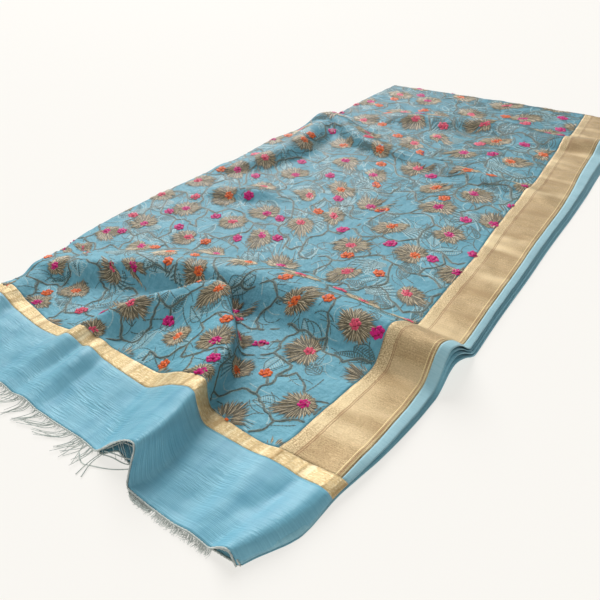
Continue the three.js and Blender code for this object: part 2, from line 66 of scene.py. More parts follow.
SIDES = {  # y, and the x of the left fold, of both sides of the border and of the right edge
    "y": [-20, 0, 38, 82, 102, 144, 190, 229, 262, 302, 385, 480, 573, 681, 769, 812, 866, 977, 1057, 1210],
    "left": [42, 44, 46, 50, 52, 52, 38, 26, 22, 18, 14, 15, 16, 8, 14, 26, 30, 22, 18, 18],
    "inner": [474, 474, 478, 483, 487, 491, 497, 500, 498, 506, 505, 505, 500, 497, 498, 496, 493, 488,
              489, 480],
    "outer": [509, 511, 532, 542, 545, 549, 552, 552, 552, 560, 560, 560, 559, 560, 557, 554, 551, 548,
              547, 543],
    "right": [517, 519, 541, 548, 552, 558, 562, 563, 563, 568, 568, 569, 569, 571, 571, 570, 569, 568,
              567, 565],
}
CROSSINGS = {  # x, and the y of the hem, of both sides of the stripe and of the far fold
    "x": [0, 82, 124, 171, 215, 254, 300, 340, 385, 411, 466, 506, 580],
    "hem": [-4, -3, -2, -2, -1, 0, 2, 4, -2, -5, -5, -3, 8],
    "low": [74, 75, 72, 69, 75, 77, 75, 75, 80, 75, 77, 80, 80],
    "high": [92, 92, 88, 82, 90, 93, 92, 94, 96, 92, 89, 95, 100],
    "far": [1188, 1190, 1192, 1193, 1194, 1195, 1197, 1196, 1194, 1193, 1193, 1192, 1189],
}
FOLDS = {  # rows of x, y, rise, reach to the left and right of the course, lean to the right
    "mouth": [(396, -18, 31, 38, 11, 9), (402, 20, 32, 46, 22, 7), (401, 60, 30, 58, 30, 8),
              (397, 96, 31, 62, 18, 10), (391, 130, 35, 74, 21, 12), (380, 152, 37, 80, 23, 13),
              (366, 168, 38, 74, 24, 13), (344, 184, 38, 60, 25, 12), (318, 193, 37, 46, 25, 10)],
    "lip": [(330, 190, 37, 40, 25, 10), (307, 196, 37, 40, 25, 10), (274, 173, 34, 38, 24, 10),
            (243, 136, 26, 32, 24, 8), (220, 94, 14, 24, 22, 2), (212, 45, 7, 24, 22, 0),
            (208, -8, 1, 20, 20, 0)],
    "pocket": [(300, 96, 3, 60, 60, 0), (308, 120, 11, 66, 66, 0), (318, 175, 14, 50, 50, 0)],
    "wave": [(50, 140, 8, 50, 22, 0), (98, 156, 18, 60, 32, 2), (138, 179, 22, 66, 36, 3),
             (184, 207, 25, 70, 40, 4), (233, 230, 28, 70, 44, 5), (320, 258, 29, 68, 54, 4),
             (369, 268, 28, 64, 52, 2), (441, 264, 29, 56, 50, 4), (488, 262, 32, 48, 48, 8),
             (575, 264, 31, 40, 44, 8)],
    "left_low": [(60, 425, 3, 30, 28, 0), (122, 456, 12, 38, 30, 0), (150, 470, 11, 38, 28, 0),
                 (190, 484, 3, 34, 26, 0)],
    "left_middle": [(30, 520, 4, 35, 30, 0), (66, 575, 14, 44, 36, 0), (78, 655, 20, 46, 44, 0),
                    (62, 745, 21, 44, 46, 0), (50, 790, 16, 44, 44, 0)],
    "long": [(-10, 794, 12, 45, 40, 0), (40, 830, 24, 50, 40, 0), (68, 824, 24, 50, 38, 2),
             (103, 803, 23, 50, 36, 4), (171, 760, 18, 45, 30, 4), (239, 745, 14, 40, 28, 2),
             (330, 738, 9, 36, 28, 0), (447, 722, 10, 34, 28, 0), (530, 714, 3, 30, 28, 0)],
    "far": [(110, 925, 4, 40, 40, 0), (166, 942, 14, 50, 44, 0), (255, 962, 15, 50, 45, 0),
            (358, 1000, 14, 50, 45, 0), (447, 976, 13, 48, 44, 0), (488, 976, 14, 48, 42, 0),
            (575, 1002, 14, 48, 42, 0)],
    "hem_left": [(66, 150, 9, 30, 20, 0), (80, 90, 11, 28, 20, 0), (84, 15, 6, 26, 24, 0),
                 (84, -8, 3, 24, 24, 0)],
    "hem_right": [(240, 112, 4, 22, 20, 0), (252, 66, 9, 22, 20, 0), (248, 0, 2, 22, 22, 0)],
    "hem_middle": [(488, 96, 2, 30, 20, 0), (484, 30, 5, 32, 22, 0), (478, -6, 2, 28, 22, 0)],
    "corner": [(506, -12, 6, 14, 10, 2), (526, 40, 6, 20, 16, 2), (544, 120, 2, 20, 16, 0)],
}
CREASES = [  # x, y of the middle, heading in degrees, length, half width, depth: troughs below 0
    (120, 40, 84, 90, 5, 0.9), (160, 30, 96, 80, 6, -0.8), (196, 34, 88, 90, 5, 0.7),
    (292, 38, 84, 84, 7, -0.9), (318, 44, 94, 70, 5, 0.6), (440, 30, 78, 80, 9, 1.3),
    (462, 44, 98, 70, 6, -1.0), (346, 40, 70, 70, 5, 0.8), (372, 70, 84, 60, 4, -0.8),
    (60, 60, 80, 60, 6, -0.8), (512, 60, 62, 90, 6, -1.0), (500, 20, 50, 60, 5, 0.8),
    (430, 150, 20, 90, 8, 0.8), (450, 190, 12, 80, 7, -0.9), (300, 150, 60, 60, 6, 0.9),
    (270, 128, 40, 50, 5, -0.8), (340, 130, 100, 60, 6, -0.7), (150, 130, 20, 90, 7, 0.9),
    (200, 150, 30, 80, 6, -0.9), (110, 190, 24, 80, 6, 0.8), (200, 300, 12, 120, 8, -0.9),
    (330, 320, 8, 140, 9, 0.9), (440, 330, -6, 110, 8, -0.9), (90, 300, 16, 100, 8, 0.8),
    (260, 400, 14, 150, 9, 0.8), (400, 430, 6, 130, 9, -0.8), (120, 400, 22, 120, 8, -0.9),
    (60, 380, 70, 110, 7, 1.0), (200, 560, 10, 140, 9, 0.9), (350, 560, 4, 150, 9, -0.8),
    (450, 600, -4, 110, 8, 0.8), (120, 520, 34, 110, 8, -0.9), (240, 660, 8, 150, 9, -0.9),
    (400, 660, 2, 130, 9, 0.8), (130, 680, 76, 120, 8, -1.0), (300, 800, 6, 170, 9, 1.0),
    (170, 850, 20, 150, 8, -1.0), (430, 800, -2, 130, 9, -0.8), (90, 900, 30, 120, 8, 0.9),
    (240, 890, 14, 140, 8, 0.8), (380, 900, 4, 130, 8, -0.9), (470, 880, -8, 90, 7, 0.8),
    (150, 1020, 16, 160, 9, -0.9), (300, 1080, 4, 170, 9, 0.9), (430, 1060, -4, 120, 9, -0.8),
    (90, 1100, 10, 120, 9, 0.8), (526, 180, 4, 60, 7, 0.7), (530, 330, -6, 70, 8, -0.7),
    (526, 420, 8, 70, 8, 0.6), (528, 520, -4, 70, 9, -0.6), (530, 640, 6, 70, 9, 0.7),
    (526, 790, -6, 70, 8, -0.7), (524, 900, 6, 70, 8, 0.7), (520, 1080, 0, 70, 9, -0.6),
]
PUCKERS = {"waves": 36, "shortest": 16, "longest": 60, "height": 0.075}
draw = np.random.default_rng(7)
pucker_length = draw.uniform(PUCKERS["shortest"], PUCKERS["longest"], PUCKERS["waves"])
pucker_heading = draw.uniform(0, math.pi, PUCKERS["waves"])
pucker_start = draw.uniform(0, 2 * math.pi, PUCKERS["waves"])


def smooth(start, end, value):
    share = np.clip((value - start) / (end - start), 0, 1)
    return share * share * (3 - 2 * share)


def unit(ways):
    """The same ways with a length of 1."""
    return ways / np.maximum(np.linalg.norm(ways, axis=-1, keepdims=True), 1e-9)


def toward(angle):
    """The way in plan that an angle points."""
    return np.stack([np.cos(angle), np.sin(angle)], -1)


def left_of(ways):
    """Ways in plan turned a quarter to the left."""
    return np.stack([-ways[..., 1], ways[..., 0]], -1)


def run(rows, step):
    """A smooth run through rows of numbers, placed by their first two columns."""
    rows = np.array(rows, float)
    ends = np.vstack([rows[:1], rows, rows[-1:]])
    points = []
    for a, b, c, d in zip(ends, ends[1:], ends[2:], ends[3:]):
        count = max(2, math.ceil(math.hypot(c[0] - b[0], c[1] - b[1]) / step))
        for t in np.arange(count) / count:
            points.append(0.5 * (2 * b + (c - a) * t + (2 * a - 5 * b + 4 * c - d) * t**2
                                 + (3 * b - a - 3 * c + d) * t**3))
    return np.array(points + [rows[-1]])


def reader(table):
    """A table of columns as a function: one column where the first column has a given value."""
    names = list(table)
    points = run(list(zip(*table.values())), 12)
    return lambda at, name: np.interp(at, points[:, 0], points[:, names.index(name)])


side = reader(SIDES)
crossing = reader(CROSSINGS)


def crest(rows):
    """A fold's course as close points, shifted to its lean, with its direction at each."""
    points = run(rows, CREST_STEP)
    ends = np.vstack([points[:1], points, points[-1:]])
    course = unit(ends[2:, :2] - ends[:-2, :2])
    points[:, :2] += left_of(course) * points[:, 5:6]
    return np.hstack([points, course])


crests = {name: crest(rows) for name, rows in FOLDS.items()}


def fold_at(points, x, y):
    """One fold's lift and its sideways push at places in plan."""
    lift, push_x, push_y = np.zeros_like(x), np.zeros_like(x), np.zeros_like(x)
    margin = points[:, 3:5].max() + 1
    near = ((x > points[:, 0].min() - margin) & (x < points[:, 0].max() + margin)
            & (y > points[:, 1].min() - margin) & (y < points[:, 1].max() + margin))
    if not near.any():
        return lift, push_x, push_y
    dx = x[near][:, None] - points[:, 0]
    dy = y[near][:, None] - points[:, 1]
    far_off = np.hypot(dx, dy)
    nearest = far_off.min(axis=1)
    weight = np.exp((nearest[:, None] ** 2 - far_off**2) / (2 * SOFTNESS**2))
    weight /= weight.sum(axis=1)[:, None]
    beside = (weight * (points[:, 6] * dy - points[:, 7] * dx)).sum(axis=1)
    rise, left, right, lean, course_x, course_y = (weight @ points[:, 2:]).T
    share = 0.5 + 0.5 * np.tanh(beside / CREST_BLEND)
    profile = (1 - np.clip(nearest / (right + (left - right) * share), 0, 1) ** 2) ** 2
    push = lean * profile**1.5
    lift[near] = rise * profile
    push_x[near] = course_y * push
    push_y[near] = -course_x * push
    return lift, push_x, push_y


def relief(x, y):
    """Soft creases listed one by one, and the slight puckers that stitching leaves all over."""
    height = np.zeros_like(x)
    for cx, cy, heading, length, half, depth in CREASES:
        c, s = math.cos(math.radians(heading)), math.sin(math.radians(heading))
        along = (x - cx) * c + (y - cy) * s
        across = (y - cy) * c - (x - cx) * s + 0.06 * along * np.sin(along / length * 4)
        taper = np.clip(1 - (2 * along / length) ** 2, 0, 1) ** 1.5
        height += depth * taper * np.exp(-((across / half) ** 2))
    for length, heading, start in zip(pucker_length, pucker_heading, pucker_start):
        phase = (x * math.cos(heading) + y * math.sin(heading)) * 2 * math.pi / length + start
        height += PUCKERS["height"] * np.sin(phase)
    return height


def lie(across, along, share=1.0):
    """Points of the cloth's upper side, from places across and along it. Places below 0 across run
    round the left fold, and places past the length run round the far fold, each through one turn."""
    a, b = np.maximum(across, 0), np.minimum(along, LENGTH)
    left, inner, outer, right = (side(b, name) for name in ("left", "inner", "outer", "right"))
    x = np.where(a < BORDER_START, left + (inner - left) * a / BORDER_START, np.where(
        a < SELVEDGE_START,
        inner + (outer - inner) * (a - BORDER_START) / (SELVEDGE_START - BORDER_START),
        outer + (right - outer) * (a - SELVEDGE_START) / (WIDTH - SELVEDGE_START)))
    hem, low, high, far = (crossing(x, name) for name in ("hem", "low", "high", "far"))
    y = np.where(b < STRIPE_START, hem + (low - hem) * b / STRIPE_START, np.where(
        b < STRIPE_END, low + (high - low) * (b - STRIPE_START) / (STRIPE_END - STRIPE_START),
        high + (far - high) * (b - STRIPE_END) / (LENGTH - STRIPE_END)))
    power, push_x, push_y = np.zeros_like(x), np.zeros_like(x), np.zeros_like(x)
    for points in crests.values():
        lift, fold_x, fold_y = fold_at(points, x, y)
        power += np.maximum(lift, LEAST_LIFT) ** RIDGE_POWER
        push_x += fold_x * share
        push_y += fold_y * share
    lift = power ** (1 / RIDGE_POWER) * share
    take = HEM_TAKE * lift * np.clip(1 - y / HEM_TAKE_LENGTH, 0, 1) ** 1.5
    hem_height = HEM_RISE + (FLAT_RISE - 1 - HEM_RISE) * smooth(CORNER_START, CORNER_END, x)
    flat = hem_height + (FLAT_RISE - hem_height) * smooth(0, HEM_SLOPE, b)
    droop = EDGE_DROOP["hem"] + (EDGE_DROOP["along"] - EDGE_DROOP["hem"]) * smooth(
        EDGE_DROOP["from"], EDGE_DROOP["to"], b)
    flat = flat - droop * np.clip((a - SELVEDGE_START) / (WIDTH - SELVEDGE_START), 0, 1) ** 2
    top = flat + lift + relief(x, y) * (RELIEF_FLAT + (1 - RELIEF_FLAT) * share)
    turn_left, turn_far = np.pi * np.maximum(-across, 0), np.pi * np.maximum(along - LENGTH, 0)
    middle = (top + FOLD_FOOT) / 2
    return np.stack([
        x + push_x - FOLD_REACH * np.sin(turn_left),
        y + push_y + take + FOLD_REACH * np.sin(turn_far),
        middle + (top - middle) * np.minimum(np.cos(turn_left), np.cos(turn_far)),
    ], axis=-1)


def places(*stretches):
    """Places from one value to another and on to the next, each stretch with its own count."""
    parts = [np.linspace(start, end, count, endpoint=False) for start, end, count in stretches]
    return np.append(np.concatenate(parts), stretches[-1][1])


FOLD_TURN = np.linspace(-1, 0, 10, endpoint=False)
FIELD_ACROSS = places((0, 325, 84), (325, 425, 40), (425, BORDER_START, 18))
FIELD_ALONG = places((STRIPE_END, 300, 76), (300, 860, 124), (860, LENGTH, 64))
FAR_TURN = LENGTH + np.linspace(0, 1, 11)[1:]
LONG_ALONG = np.append(FIELD_ALONG, FAR_TURN)


def outward(grid):
    """The direction out of a grid of points at each of them."""
    return unit(np.cross(np.gradient(grid, axis=1), np.gradient(grid, axis=0)))


def new_mesh(name, points, faces, material, smooth_faces=True, places_uv=None):
    """An object from points in millimetres on the cloth's plan and from faces of one size."""
    mesh = bpy.data.meshes.new(name)
    points = (np.asarray(points, float) - [*CLOTH_MIDDLE, 0]) * MM
    faces = np.asarray(faces, np.int32)
    corners = faces.shape[1]
    mesh.vertices.add(len(points))
    mesh.vertices.foreach_set("co", points.astype(np.float32).ravel())
    mesh.loops.add(faces.size)
    mesh.loops.foreach_set("vertex_index", faces.ravel())
    mesh.polygons.add(len(faces))
    mesh.polygons.foreach_set("loop_start", np.arange(len(faces), dtype=np.int32) * corners)
    flags = np.broadcast_to(smooth_faces, len(faces))
    mesh.polygons.foreach_set("use_smooth", np.ascontiguousarray(flags))
    if places_uv is not None:
        layer = mesh.uv_layers.new(name="cloth")
        layer.data.foreach_set("uv", (places_uv[faces.ravel()] * MM).astype(np.float32).ravel())
    mesh.materials.append(material)
    mesh.update()
    piece = bpy.data.objects.new(name, mesh)
    bpy.context.scene.collection.objects.link(piece)
    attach(piece, "root")
    return piece


def shell(name, grid, across, along, material, thickness=SILK_THICKNESS):
    """A thin closed shell of cloth under a grid of points."""
    rows, columns = grid.shape[:2]
    under = grid - outward(grid) * thickness
    under[..., 2] = np.maximum(under[..., 2], 0.1)
    points = np.concatenate([grid.reshape(-1, 3), under.reshape(-1, 3)])
    at = np.arange(rows * columns).reshape(rows, columns)
    below = at + rows * columns
    top = np.stack([at[:-1, :-1], at[:-1, 1:], at[1:, 1:], at[1:, :-1]], -1).reshape(-1, 4)
    bottom = np.stack([below[1:, :-1], below[1:, 1:], below[:-1, 1:], below[:-1, :-1]], -1)
    rims = [
        np.stack([at[0, 1:], at[0, :-1], below[0, :-1], below[0, 1:]], -1),
        np.stack([at[-1, :-1], at[-1, 1:], below[-1, 1:], below[-1, :-1]], -1),
        np.stack([at[:-1, 0], at[1:, 0], below[1:, 0], below[:-1, 0]], -1),
        np.stack([at[1:, -1], at[:-1, -1], below[:-1, -1], below[1:, -1]], -1),
    ]
    faces = np.concatenate([top, bottom.reshape(-1, 4), *rims])
    soft = np.arange(len(faces)) < 2 * len(top)
    a, b = np.meshgrid(across, along)
    flat = np.tile(np.stack([a, b], -1).reshape(-1, 2), (2, 1))
    return new_mesh(name, points, faces, material, soft, flat)


class Value:
    """A socket's value, so that shader maths is written as an expression."""

    def __init__(self, finish, socket):
        self.finish, self.socket = finish, socket

    def math(self, operation, *others):
        return self.finish.node("ShaderNodeMath", {"operation": operation},
                                dict(enumerate([self, *others])))

    def __add__(self, other):
        return self.math("ADD", other)

    def __sub__(self, other):
        return self.math("SUBTRACT", other)

    def __rsub__(self, other):
        return self.finish.node("ShaderNodeMath", {"operation": "SUBTRACT"}, {0: other, 1: self})

    def __mul__(self, other):
        return self.math("MULTIPLY", other)

    def between(self, low, high):
        """1 where the value lies between two others, 0 elsewhere."""
        return self.math("GREATER_THAN", low) * self.math("LESS_THAN", high)

    __radd__, __rmul__ = __add__, __mul__


class Finish:
    """A material with one Principled surface and one way of adding nodes."""

    def __init__(self, name, surface):
        self.name, self.material = name, bpy.data.materials.new(name)
        self.material.use_nodes = True
        self.tree = self.material.node_tree
        self.surface = self.tree.nodes["Principled BSDF"]
        for socket, value in surface.items():
            self.surface.inputs[socket].default_value = value

    def node(self, kind, settings=None, sockets=None, output=0):
        made = self.tree.nodes.new(kind)
        for key, value in (settings or {}).items():
            if key == "stops":
                while len(made.color_ramp.elements) < len(value):
                    made.color_ramp.elements.new(0.5)
                for element, (position, colour) in zip(made.color_ramp.elements, value):
                    element.position, element.color = position, colour
            else:
                setattr(made, key, value)
        for key, value in (sockets or {}).items():
            value = value.socket if isinstance(value, Value) else value
            if isinstance(value, bpy.types.NodeSocket):
                self.tree.links.new(value, made.inputs[key])
            else:
                made.inputs[key].default_value = value
        return Value(self, made.outputs[output])

    def set(self, socket, value):
        self.tree.links.new(value.socket, self.surface.inputs[socket])

    def place(self, across=1.0, along=1.0):
        """The place on the flat cloth in metres, stretched each way."""
        uv = self.node("ShaderNodeUVMap", {"uv_map": "cloth"})
        return self.node("ShaderNodeVectorMath", {"operation": "MULTIPLY"},
                         {0: uv, 1: (across, along, 1.0)})

    def noise(self, place, scale, detail=2.0, roughness=0.5):
        return self.node("ShaderNodeTexNoise", None,
                         {"Vector": place, "Scale": scale, "Detail": detail, "Roughness": roughness})

    def grain(self, across, along, detail=3.0, roughness=0.6):
        """Noise drawn out along or across the cloth."""
        return self.noise(self.place(across, along), 1.0, detail, roughness)

    def mix(self, share, first, second):
        """One colour or the other, by a share from 0 to 1."""
        return self.node("ShaderNodeMix", {"data_type": "RGBA"},
                         {"Factor": share, 6: first, 7: second}, output=2)

    def clamp(self, value):
        return self.node("ShaderNodeClamp", None, {"Value": value})

    def bump(self, height, depth):
        """The height's relief, with the depth in metres of a height of 1."""
        self.set("Normal", self.node("ShaderNodeBump", None,
                                     {"Strength": 1.0, "Distance": depth, "Height": height}))


def colour(red, green, blue):
    """A colour from the values that a screen shows, each up to 255."""
    linear = [(c / 255 / 12.92) if c <= 10 else ((c / 255 + 0.055) / 1.055) ** 2.4
              for c in (red, green, blue)]
    return (*linear, 1.0)


def weave(finish):
    """Height of a plain weave: threads along and across the cloth, a warp and a weft apart."""
    waves = [finish.node("ShaderNodeTexWave", {"wave_type": "BANDS", "bands_direction": axis}, {
        "Vector": finish.place(), "Scale": math.pi / 20 / pitch, "Distortion": 0.4,
        "Detail": 1.0, "Detail Scale": 0.6}, output=1) for axis, pitch in (("X", WARP), ("Y", WEFT))]
    return waves[0] * 0.5 + waves[1] * 0.5


def edge_finish(name, roughness, stretch, dark, light, depth):
    """Plain silk with slubs along its weft, as it shows at the edges of the cloth."""
    made = Finish(name, {"Roughness": roughness, "Specular IOR Level": 0.35, "Sheen Weight": 0.2})
    slubs = made.grain(*stretch)
    made.set("Base Color", made.mix(slubs, dark, light))
    made.bump(slubs + weave(made) * 0.4, depth)
    return made


def top_cloth(name, node, across, along, finish, thickness=SILK_THICKNESS):
    """One stretch of the top cloth, in place of its CAD node."""
    grid = lie(*np.meshgrid(across, along))
    cloth = shell(name, grid, across, along, finish.material, thickness)
    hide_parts(node)
    return grid


silk = Finish("field_silk", {"Roughness": 0.55, "Specular IOR Level": 0.2, "Sheen Weight": 0.06,
              "Sheen Roughness": 0.4})
slub = silk.grain(20, 460)
warp_slub = silk.grain(420, 18)
cloud = silk.noise(silk.place(), 40.0, 3.0, 0.55)
pucker = silk.noise(silk.place(), 150.0, 3.0, 0.6)
tone = silk.mix(cloud * 1.6 - 0.3, colour(84, 148, 166), colour(120, 184, 202))
tone = silk.mix((pucker - 0.45) * 2.2, tone, colour(132, 192, 206))
tone = silk.mix((slub - 0.42) * 1.2, tone, colour(128, 188, 206))
tone = silk.mix((warp_slub - 0.5) * 1.5, tone, colour(76, 138, 158))
# Painted shade: the blue is painted darker towards the far end, where less light falls.
along_uv = silk.node("ShaderNodeSeparateXYZ", None, {"Vector": silk.place()}, output=1)
silk.set("Base Color", silk.mix(along_uv * FAR_PAINTED_SHADE, tone, colour(66, 122, 142)))
silk.set("Roughness", slub * 0.24 + 0.42)
silk.bump(weave(silk) * 0.12 + slub * 0.35 + warp_slub * 0.25 + pucker * 2.2 + cloud, 0.0007)

field_across = np.append(FOLD_TURN, FIELD_ACROSS)
field_grid = top_cloth("field_cloth", "field", field_across, LONG_ALONG, silk)

# The border woven along the edge: beige-gold metallic weft, ribbed across, with a dotted band and
# fine lines near its inner side and three bright lines at its outer side.
# Bands of painted shade and painted highlight run across it.
BAND = (-1, 13)  # the dotted band, and the lines beside it, from the border's inner side
DARK_LINES = [(13.5, 14.2), (15.5, 16.2), (53.4, 54.1)]
BRIGHT_LINES = [(51.5, 52.2), (55.4, 56.5)]

gold = Finish("border_gold", {"Metallic": 0.3, "Roughness": 0.42, "Specular IOR Level": 0.4,
              "Sheen Weight": 0.1, "Sheen Roughness": 0.3})
across_uv = gold.node("ShaderNodeSeparateXYZ", None, {"Vector": gold.place()})
inside = (across_uv - BORDER_START * MM) * (1 / MM)
rib = gold.grain(60, 800, 3.0, 0.65)
speck = gold.grain(560, 1100, 2.0)
shade = gold.grain(9, 36, 3.0, 0.5)
glint = gold.grain(7, 24, 1.0, 0.5)
base = gold.mix(rib * 2 - 0.5, colour(158, 130, 88), colour(212, 184, 138))
base = gold.mix((speck - 0.5) * 4, base, colour(228, 204, 158))
base = gold.mix((0.46 - speck) * 4, base, colour(152, 122, 82))
# Painted shade: darker bands across the border where its creases turn from the light.
base = gold.mix((shade - 0.5) * 4.5, base, colour(172, 142, 98))
# Painted highlight: bright bands across the border where the gold catches the light.
base = gold.mix((glint - 0.52) * 4, base, colour(240, 216, 170))
base = gold.mix(inside.between(*BAND) * (speck - 0.44) * 5, base, colour(232, 212, 166))
lines, bright = [functools.reduce(operator.add, [inside.between(*line) for line in group])
                 for group in (DARK_LINES, BRIGHT_LINES)]
base = gold.mix(lines * 0.7, base, colour(150, 104, 66))
gold.set("Base Color", gold.mix(bright * 0.8, base, colour(248, 228, 172)))
gold.set("Roughness", rib * 0.25 + 0.32)
gold.bump(rib + weave(gold) * 0.2 + speck * 1.4 + shade * 3 - lines * 1.5, 0.0005)

border_across = np.linspace(BORDER_START, SELVEDGE_START, 17)
top_cloth("border_cloth", "side_border", border_across, LONG_ALONG, gold)

# The woven edge outside the border: a narrow strip of plain light blue silk, packed tight.
edge_silk = edge_finish("selvedge_silk", 0.5, (60, 700), colour(134, 186, 198),
                        colour(176, 214, 222), 0.0003)
selvedge_across = np.linspace(SELVEDGE_START, WIDTH, 7)
top_cloth("selvedge_cloth", "selvedge", selvedge_across, LONG_ALONG, edge_silk,
          EDGE_THICKNESS)

# The stripe across the end: a band of pale-gold metallic weft, brighter than the side border, with
# painted highlight and painted shade in bands across it where it creases.
stripe_gold = Finish("stripe_gold", {"Metallic": 0.25, "Roughness": 0.4, "Specular IOR Level": 0.4,
                     "Sheen Weight": 0.1})
stripe_rib = stripe_gold.grain(90, 800)
stripe_speck = stripe_gold.grain(300, 620, 2.0)
painted_stripe_creases = stripe_gold.grain(95, 12, 2.0, 0.5)
stripe_base = stripe_gold.mix(stripe_rib * 1.6 - 0.3, colour(204, 170, 112), colour(238, 212, 158))
stripe_base = stripe_gold.mix((stripe_speck - 0.47) * 4, stripe_base, colour(252, 234, 190))
# Painted highlight and painted shade: light and dark bands across the stripe at its creases.
stripe_base = stripe_gold.mix((0.46 - painted_stripe_creases) * 6, stripe_base, colour(252, 236, 194))
stripe_gold.set("Base Color", stripe_gold.mix((painted_stripe_creases - 0.52) * 5, stripe_base,
                                              colour(182, 146, 92)))
stripe_gold.bump(stripe_rib + stripe_speck + painted_stripe_creases * 5 + weave(stripe_gold) * 0.2, 0.0006)

whole_across = np.concatenate([field_across, border_across[1:], selvedge_across[1:]])
stripe_along = np.linspace(STRIPE_START, STRIPE_END, 8)
top_cloth("stripe_cloth", "end_stripe", whole_across, stripe_along, stripe_gold)

# The plain end: the same silk with no stitching, slubbed across, which shines more and shows the
# fine crinkles of its weft. Streaks of painted sheen and shade run along it.
plain = Finish("end_silk", {"Roughness": 0.42, "Specular IOR Level": 0.45, "Sheen Weight": 0.3,
               "Sheen Roughness": 0.35})
crinkle = plain.grain(60, 620, 2.0, 0.55)
patch = plain.grain(30, 48, 2.0, 0.5) * 3 - 1.1
crinkle = crinkle * plain.clamp(patch)
streak = plain.grain(18, 900)
painted_sheen = plain.grain(70, 9, 2.0, 0.5)
plain_tone = plain.mix(streak * 1.4 - 0.2, colour(98, 164, 186), colour(134, 196, 214))
plain_tone = plain.mix((crinkle - 0.3) * 1.4, plain_tone, colour(138, 202, 220))
# Painted sheen: darker streaks along the plain end where its sheen turns from the light.
plain.set("Base Color", plain.mix((painted_sheen - 0.45) * 2, plain_tone, colour(90, 158, 184)))
plain.set("Roughness", streak * 0.3 + 0.28)
plain.bump(crinkle * 1.5 + streak * 0.3 + weave(plain) * 0.12, 0.0006)

end_along = places((0, 12, 6), (12, STRIPE_START, 22))
end_grid = top_cloth("plain_end_cloth", "plain_end", whole_across, end_along, plain)

# The layers under the top cloth: the rest of the same silk, folded under it. Each layer takes a part
# of the folds above it, and their woven edges stand out below the top one along the right side.
UNDER = [  # share of the folds inside and at the right edge, height, tuck, share of the reach, and
    # how far the hem is set back, and comes forward to the right of the mouth
    (0.0, 0.64, 0.7, 7.0, 1.0, 3.0, 4.0),
    (0.34, 0.80, 2.6, 4.5, 0.62, 6.0, 2.6),
    (0.66, 0.92, 4.6, 5.0, 0.45, 2.5, 1.2),
]
EDGE_REACH = {"y": [0, 30, 60, 110, 200, 290, 350, 480, 700, 860, 1200],
              "out": [1.5, 1.5, 1.5, 6, 9, 12, 12, 13, 14, 15, 14]}
EDGE_DEPTH, LAYER_GAP, LAYER_STEP = 100, 1.5, 0.9
MOUTH_BACK = 12  # how far the layers' hems are set back inside the mouth of the fold
BESIDE_MOUTH, IN_MOUTH = (412, 430, 440, 470), (362, 376, 402, 420)  # x where each rises and falls
edge_reach = reader(EDGE_REACH)

layer_silk = edge_finish("layer_silk", 0.55, (20, 480), colour(112, 176, 194),
                         colour(154, 206, 218), 0.0004)
layer_across = places((0, 350, 24), (350, 430, 26), (430, 540, 18), (540, WIDTH, 8))
layer_along = places((0, 80, 24), (80, 330, 56), (330, LENGTH, 56))
across, along = np.meshgrid(layer_across, layer_along)
layer_top = lie(across, along)
layer_top = layer_top - outward(layer_top) * LAYER_GAP
flat_top = lie(across, along, 0.0)[..., 2]
reach = edge_reach(layer_along, "out")[:, None]
layer_grids = []


def stretch_of(value, starts, full, falls, gone):
    """1 over a stretch, with a soft start and a soft end."""
    return smooth(starts, full, value) * (1 - smooth(falls, gone, value))


for number, row in enumerate(UNDER, start=1):
    within, at_edge, height, tuck, reach_share, set_back, forward = row
    edge_share = (1 - smooth(0, EDGE_DEPTH, WIDTH - across)) * smooth(40, 120, along)
    fold_share = within + (at_edge - within) * edge_share
    low = lie(across, along, fold_share)
    ripple = 0.3 * np.sin(along / 17 + number * 2) + 0.3 * np.sin(across / 31 + number)
    low[..., 2] = np.maximum(height + ripple + low[..., 2] - flat_top, height)
    ceiling = layer_top[..., 2] - (len(UNDER) - number) * LAYER_STEP
    low[..., 2] = np.maximum(np.minimum(low[..., 2], ceiling), 0.65 + 0.2 * number)
    outer_reach = reach * reach_share - tuck * smooth(30, 110, along) + 0.8
    low[..., 0] += smooth(470, WIDTH, across) * outer_reach
    hem_shift = set_back - (set_back + forward) * stretch_of(across, *BESIDE_MOUTH)
    hem_shift = hem_shift + MOUTH_BACK * stretch_of(across, *IN_MOUTH)
    low[..., 1] += hem_shift * (1 - smooth(0, 60, along))
    layer_grids.append(low)
    layer = shell(f"under_layer_{number}", low, layer_across, layer_along, layer_silk.material)
    if number == 1:
        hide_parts("hidden_layers")

# The lie of the stitching: every stitch is placed by its distance from the side border and from the
# stripe, measured over the folds, so that the pattern keeps its size where the cloth rises.
field_out = outward(field_grid)
step_across = np.linalg.norm(np.diff(field_grid, axis=1), axis=2)
step_along = np.linalg.norm(np.diff(field_grid, axis=0), axis=2)
from_border = np.zeros(field_grid.shape[:2])
from_border[:, :-1] = np.cumsum(step_across[:, ::-1], axis=1)[:, ::-1]
from_stripe = np.zeros(field_grid.shape[:2])
from_stripe[1:] = np.cumsum(step_along, axis=0)
slope_border = np.gradient(from_border, axis=1)
slope_stripe = np.gradient(from_stripe, axis=0)
field_layers = np.concatenate([field_grid, field_out, np.stack(
    [from_border, from_stripe, slope_border, slope_stripe], -1)], axis=2)
SEARCH_STEPS, SEARCH_SHARE, PLACE_ERROR, TURNED_UNDER = 18, 0.7, 0.6, -0.1
STRETCH = 1.35  # a stitch drawn out further than this is left out


def on_grid(row, column):
    """Everything that is known of the field at places between its rows and columns."""
    rows, columns = field_grid.shape[:2]
    r, c = np.clip(row, 0, rows - 1.001), np.clip(column, 0, columns - 1.001)
    i, j = r.astype(int), c.astype(int)
    a, b = (r - i)[:, None], (c - j)[:, None]
    return ((field_layers[i, j] * (1 - b) + field_layers[i, j + 1] * b) * (1 - a)
            + (field_layers[i + 1, j] * (1 - b) + field_layers[i + 1, j + 1] * b) * a)


